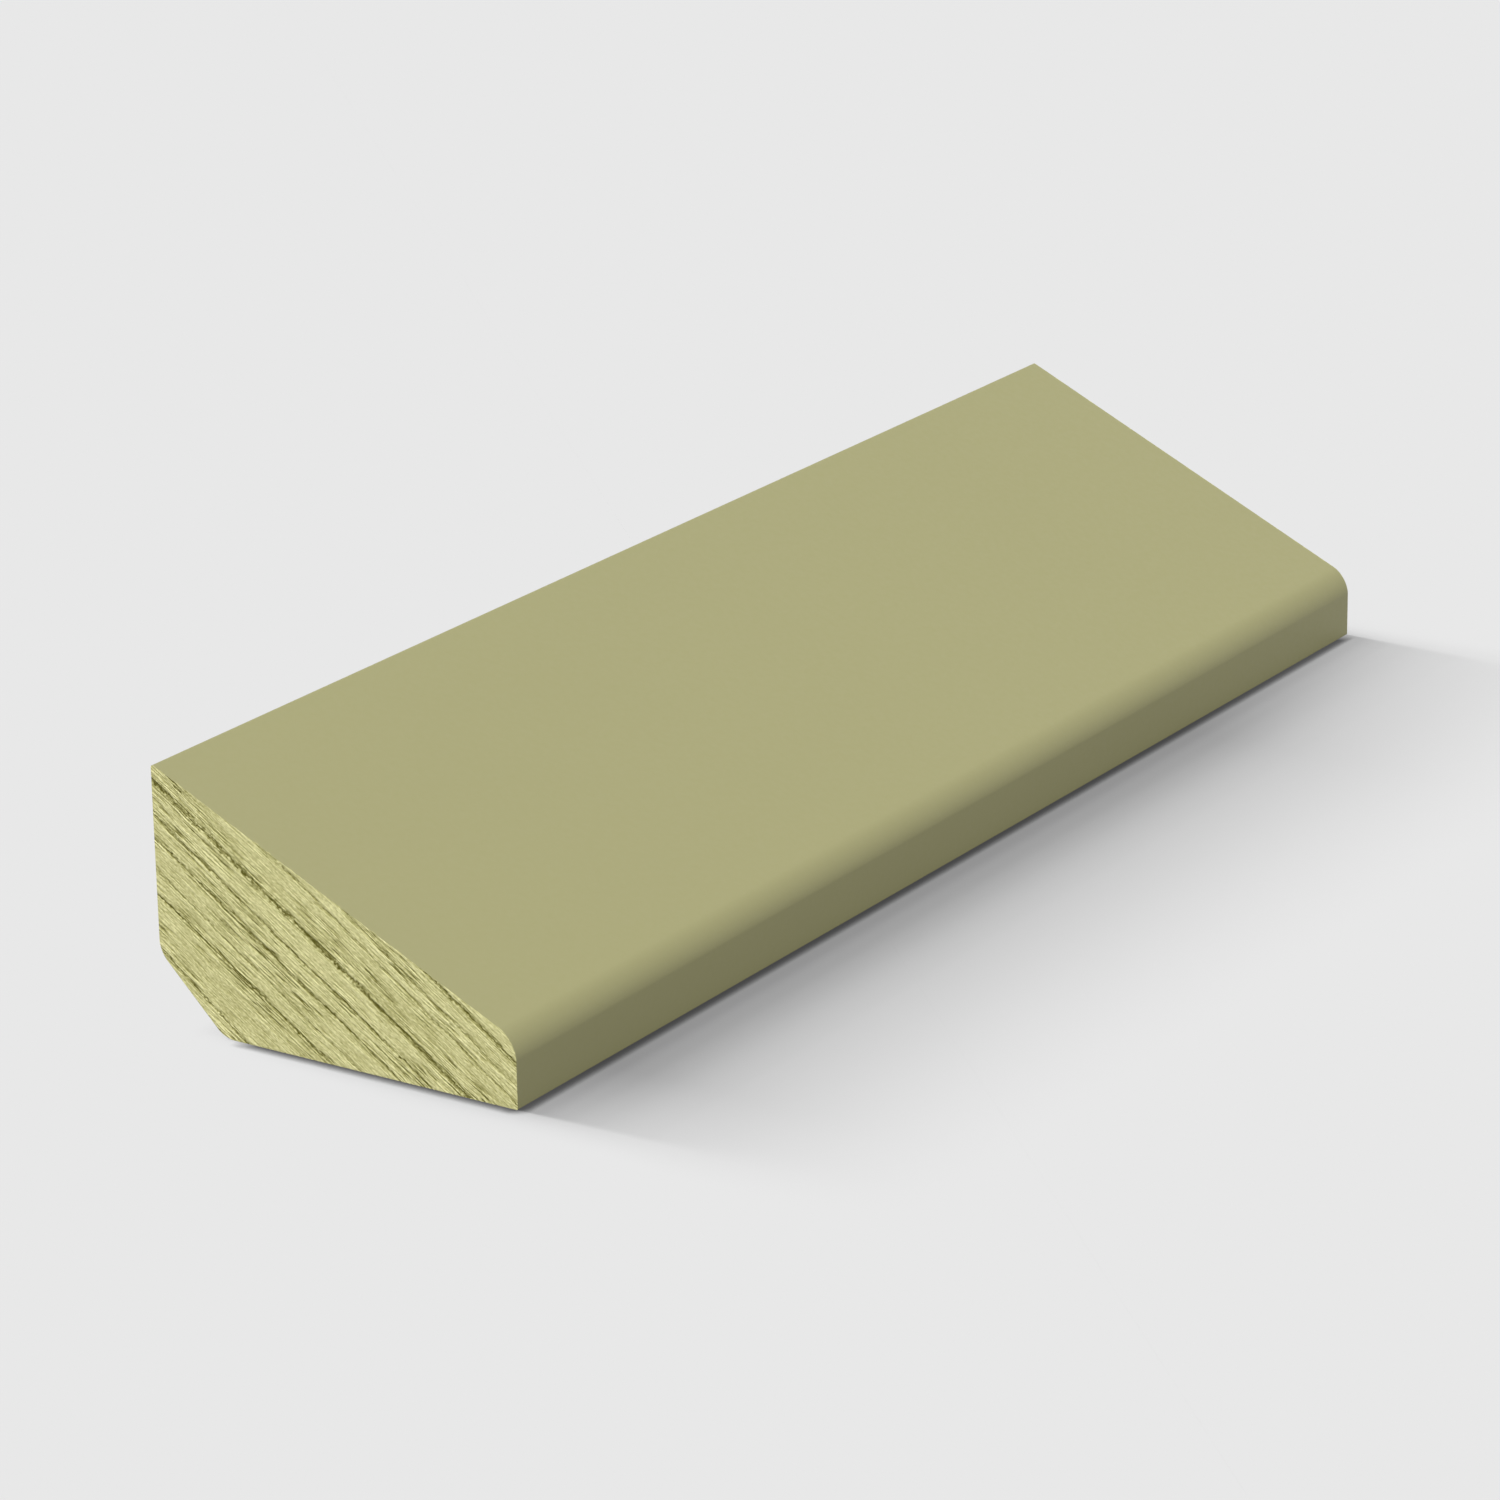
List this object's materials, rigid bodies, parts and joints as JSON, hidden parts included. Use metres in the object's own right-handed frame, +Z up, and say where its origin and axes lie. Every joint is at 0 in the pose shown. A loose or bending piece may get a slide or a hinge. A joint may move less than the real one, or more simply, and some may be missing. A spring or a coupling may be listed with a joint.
{
  "type": "glazing bead",
  "caption": "Short length of painted timber glazing bead, with a sloped top, rounded nose, flat glass face and chamfered heel, that holds a pane in its frame.",
  "frame": {"origin": "on the base plane, midway along the length and midway between the nose and the glass face", "axes": "+X along the length, +Y out of the glass face and away from the nose, +Z up from the base"},
  "size_m": [0.11, 0.028, 0.0178],
  "materials": {
    "painted_timber": "flat olive paint on the long faces, bare saw cut on both ends"
  },
  "bodies": {
    "root": {"glazing_bead": "painted_timber"}
  },
  "joints": []
}
